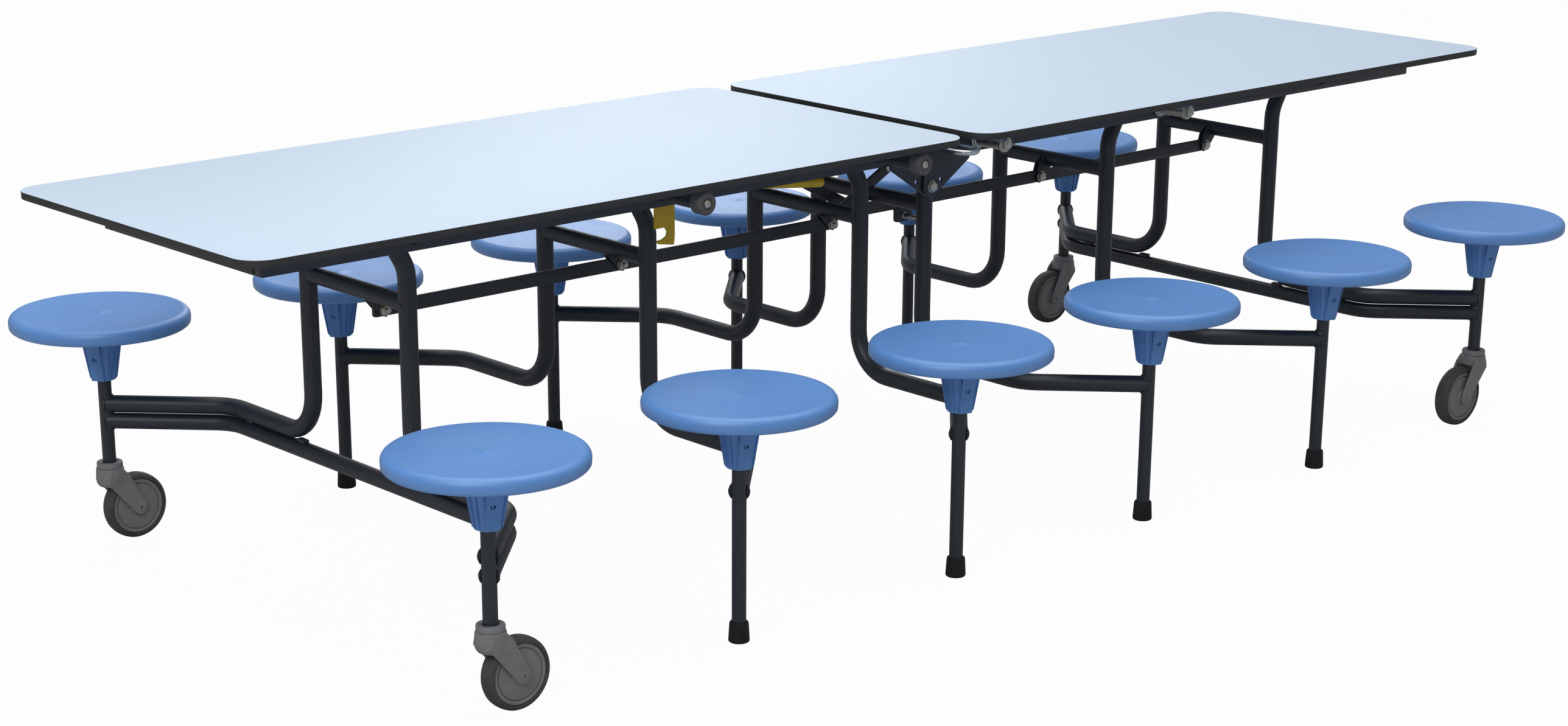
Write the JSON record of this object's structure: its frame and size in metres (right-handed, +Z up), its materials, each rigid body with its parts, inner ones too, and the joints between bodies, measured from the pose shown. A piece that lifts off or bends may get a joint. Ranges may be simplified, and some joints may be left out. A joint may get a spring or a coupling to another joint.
{
  "type": "mobile folding table with attached stools",
  "caption": "Long folding cafeteria table with two hinged tops on tubular leg frames, round blue stools on arms along both sides and swivel casters under the ends.",
  "frame": {"origin": "on the floor, midway along and across the unfolded table", "axes": "+X along the table towards the right half, +Y away from the viewer of the front side, +Z up"},
  "size_m": [3.154, 1.51, 0.742],
  "materials": {
    "laminate": "light blue laminate face, satin, dark core",
    "frame": "charcoal powder coat, satin",
    "seat": "blue moulded plastic with fine grain",
    "rubber": "black rubber",
    "zinc": "zinc plated",
    "chrome": "bright chrome",
    "yellow": "yellow paint",
    "yellow_grip": "yellow soft plastic sleeve",
    "caster": "grey moulded plastic",
    "tyre": "dark grey tread"
  },
  "bodies": {
    "left_end_frame": {"left_end_frame": "frame", "left_end_front_seat": "seat", "left_end_rear_seat": "seat"},
    "left_top": {"left_tabletop": "laminate", "left_underframe": "frame", "left_inner_pivot_rod": "frame", "left_inner_front_bumper": "rubber", "left_inner_rear_bumper": "rubber", "left_middle_pivot_rod": "frame", "left_middle_front_bumper": "rubber", "left_middle_rear_bumper": "rubber", "front_hinge_bolt": "zinc", "rear_hinge_bolt": "zinc"},
    "right_top": {"right_tabletop": "laminate", "right_underframe": "frame", "right_inner_pivot_rod": "zinc", "right_middle_pivot_rod": "zinc", "lift_loop": "chrome"},
    "left_inner_frame": {"left_inner_frame": "frame", "left_inner_front_seat": "seat", "left_inner_front_foot": "rubber", "left_inner_rear_seat": "seat", "left_inner_rear_foot": "rubber"},
    "left_middle_frame": {"left_middle_frame": "frame", "left_middle_front_seat": "seat", "left_middle_front_foot": "rubber", "left_middle_rear_seat": "seat", "left_middle_rear_foot": "rubber"},
    "left_front_caster": {"left_front_caster_fork": "caster"},
    "left_front_wheel": {"left_front_caster_wheel": "caster", "left_front_caster_tyre": "tyre"},
    "left_rear_caster": {"left_rear_caster_fork": "caster"},
    "left_rear_wheel": {"left_rear_caster_wheel": "caster", "left_rear_caster_tyre": "tyre"},
    "left_link_bar": {"left_link_bar": "frame"},
    "left_cross_strut": {"left_cross_strut": "frame"},
    "right_inner_frame": {"right_inner_frame": "frame", "right_inner_front_seat": "seat", "right_inner_front_foot": "rubber", "right_inner_rear_seat": "seat", "right_inner_rear_foot": "rubber"},
    "right_middle_frame": {"right_middle_frame": "frame", "right_middle_front_seat": "seat", "right_middle_front_foot": "rubber", "right_middle_rear_seat": "seat", "right_middle_rear_foot": "rubber"},
    "right_end_frame": {"right_end_frame": "frame", "right_end_front_seat": "seat", "right_end_rear_seat": "seat"},
    "right_front_caster": {"right_front_caster_fork": "caster"},
    "right_front_wheel": {"right_front_caster_wheel": "caster", "right_front_caster_tyre": "tyre"},
    "right_rear_caster": {"right_rear_caster_fork": "caster"},
    "right_rear_wheel": {"right_rear_caster_wheel": "caster", "right_rear_caster_tyre": "tyre"},
    "right_link_bar": {"right_link_bar": "frame"},
    "right_cross_strut": {"right_cross_strut": "frame"},
    "hook_lever": {"safety_hook": "yellow", "release_handle": "frame", "handle_grip": "yellow_grip"}
  },
  "joints": [
    {"name": "table_fold", "type": "hinge", "parent": "left_end_frame", "child": "left_top", "pos_m": [-1.1775, 0, 0.7042], "axis": [0, -1, 0], "range_deg": [0, 85]},
    {"name": "main_hinge", "type": "hinge", "parent": "left_top", "child": "right_top", "pos_m": [0, 0, 0.63], "axis": [0, 1, 0], "range_deg": [0, 170]},
    {"name": "left_middle_pivot", "type": "hinge", "parent": "left_top", "child": "left_middle_frame", "pos_m": [-0.6535, 0, 0.7042], "axis": [0, 1, 0], "range_deg": [0, 85]},
    {"name": "left_inner_pivot", "type": "hinge", "parent": "left_top", "child": "left_inner_frame", "pos_m": [-0.1295, 0, 0.7042], "axis": [0, 1, 0], "range_deg": [0, 85]},
    {"name": "right_inner_pivot", "type": "hinge", "parent": "right_top", "child": "right_inner_frame", "pos_m": [0.1295, 0, 0.7042], "axis": [0, -1, 0], "range_deg": [0, 85]},
    {"name": "right_middle_pivot", "type": "hinge", "parent": "right_top", "child": "right_middle_frame", "pos_m": [0.6535, 0, 0.7042], "axis": [0, -1, 0], "range_deg": [0, 85]},
    {"name": "right_end_pivot", "type": "hinge", "parent": "right_top", "child": "right_end_frame", "pos_m": [1.1775, 0, 0.7042], "axis": [0, -1, 0], "range_deg": [0, 85]},
    {"name": "left_bar_pivot", "type": "hinge", "parent": "left_end_frame", "child": "left_link_bar", "pos_m": [-1.1075, 0, 0.533], "axis": [0, -1, 0], "range_deg": [0, 85]},
    {"name": "right_bar_pivot", "type": "hinge", "parent": "right_end_frame", "child": "right_link_bar", "pos_m": [1.1075, 0, 0.533], "axis": [0, 1, 0], "range_deg": [0, 85]},
    {"name": "left_strut_pivot", "type": "hinge", "parent": "left_inner_frame", "child": "left_cross_strut", "pos_m": [-0.0595, 0, 0.533], "axis": [0, -1, 0], "range_deg": [0, 58]},
    {"name": "right_strut_pivot", "type": "hinge", "parent": "right_inner_frame", "child": "right_cross_strut", "pos_m": [0.0595, 0, 0.533], "axis": [0, 1, 0], "range_deg": [0, 58]},
    {"name": "left_front_swivel", "type": "hinge", "parent": "left_end_frame", "child": "left_front_caster", "pos_m": [-1.3025, -0.59, 0], "axis": [0, 0, 1], "continuous": true},
    {"name": "left_front_wheel_spin", "type": "hinge", "parent": "left_front_caster", "child": "left_front_wheel", "pos_m": [-1.2555, -0.59, 0.0625], "axis": [0, 1, 0], "continuous": true},
    {"name": "left_rear_swivel", "type": "hinge", "parent": "left_end_frame", "child": "left_rear_caster", "pos_m": [-1.3025, 0.59, 0], "axis": [0, 0, 1], "continuous": true},
    {"name": "left_rear_wheel_spin", "type": "hinge", "parent": "left_rear_caster", "child": "left_rear_wheel", "pos_m": [-1.2555, 0.59, 0.0625], "axis": [0, 1, 0], "continuous": true},
    {"name": "right_front_swivel", "type": "hinge", "parent": "right_end_frame", "child": "right_front_caster", "pos_m": [1.3025, -0.59, 0], "axis": [0, 0, 1], "continuous": true},
    {"name": "right_front_wheel_spin", "type": "hinge", "parent": "right_front_caster", "child": "right_front_wheel", "pos_m": [1.2555, -0.59, 0.0625], "axis": [0, 1, 0], "continuous": true},
    {"name": "right_rear_swivel", "type": "hinge", "parent": "right_end_frame", "child": "right_rear_caster", "pos_m": [1.3025, 0.59, 0], "axis": [0, 0, 1], "continuous": true},
    {"name": "right_rear_wheel_spin", "type": "hinge", "parent": "right_rear_caster", "child": "right_rear_wheel", "pos_m": [1.2555, 0.59, 0.0625], "axis": [0, 1, 0], "continuous": true},
    {"name": "hook_release", "type": "hinge", "parent": "left_top", "child": "hook_lever", "pos_m": [-0.6535, -0.205, 0.7042], "axis": [0, -1, 0], "range_deg": [0, 6.5]}
  ],
  "couplings": [
    {"joint": "main_hinge", "follows": "table_fold", "ratio": 2},
    {"joint": "left_middle_pivot", "follows": "table_fold", "ratio": 1},
    {"joint": "left_inner_pivot", "follows": "table_fold", "ratio": 1},
    {"joint": "right_inner_pivot", "follows": "table_fold", "ratio": 1},
    {"joint": "right_middle_pivot", "follows": "table_fold", "ratio": 1},
    {"joint": "right_end_pivot", "follows": "table_fold", "ratio": 1},
    {"joint": "left_bar_pivot", "follows": "table_fold", "ratio": 1},
    {"joint": "right_bar_pivot", "follows": "table_fold", "ratio": 1},
    {"joint": "left_strut_pivot", "follows": "table_fold", "ratio": 0.68},
    {"joint": "right_strut_pivot", "follows": "table_fold", "ratio": 0.68}
  ]
}
